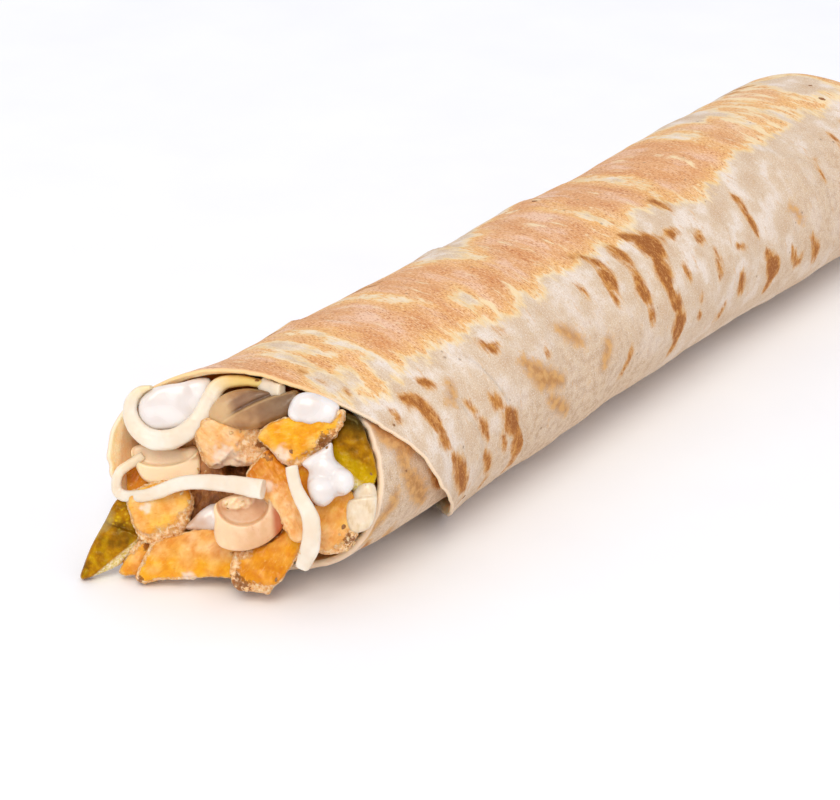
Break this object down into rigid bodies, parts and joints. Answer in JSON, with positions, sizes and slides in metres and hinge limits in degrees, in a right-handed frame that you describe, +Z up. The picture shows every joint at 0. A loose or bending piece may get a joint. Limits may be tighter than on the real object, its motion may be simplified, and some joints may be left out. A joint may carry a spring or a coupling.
{
  "type": "chicken wrap",
  "caption": "Long grilled flour tortilla rolled round chicken, mushroom, pickle, cheese and white sauce, open at one end and tucked in at the other.",
  "frame": {"origin": "on the resting face under the roll, at its middle across and near its middle along", "axes": "+Z up, the roll runs along Y, its open end faces -Y and its tucked end +Y, +X is on the right seen from the open end"},
  "size_m": [0.0681, 0.2984, 0.0513],
  "materials": {
    "tortilla": "soft matte flour flatbread with grilled patches",
    "filling": "packed moist filling",
    "cheese": "soft satin cheese",
    "mushroom": "smooth moist mushroom",
    "grey_mushroom": "smooth moist dark mushroom",
    "sauce": "glossy white sauce",
    "chicken": "roasted marinated chicken, moist with browned edges",
    "dark_chicken": "browned chicken in shade",
    "pickle": "wet translucent pickle",
    "onion": "moist pale onion"
  },
  "bodies": {
    "root": {"tortilla": "tortilla", "filling_core": "filling", "cheese_loop": "cheese", "cheese_left": "cheese", "cheese_right": "cheese", "cheese_end": "cheese", "mushroom_center": "mushroom", "mushroom_left": "mushroom", "mushroom_top": "grey_mushroom", "sauce_center_right": "sauce", "sauce_lower": "sauce", "sauce_top_left": "sauce", "sauce_top_right": "sauce", "chicken_bottom_center": "chicken", "chicken_bottom_left": "chicken", "chicken_scrap_left": "chicken", "chicken_lower_left": "chicken", "chicken_center": "chicken", "chicken_top": "chicken", "chicken_mid": "chicken", "chicken_right_low": "chicken", "chicken_far_left": "chicken", "chicken_behind": "chicken", "dark_chicken": "dark_chicken", "pickle_left": "pickle", "pickle_right": "pickle", "onion_piece": "onion"}
  },
  "joints": []
}
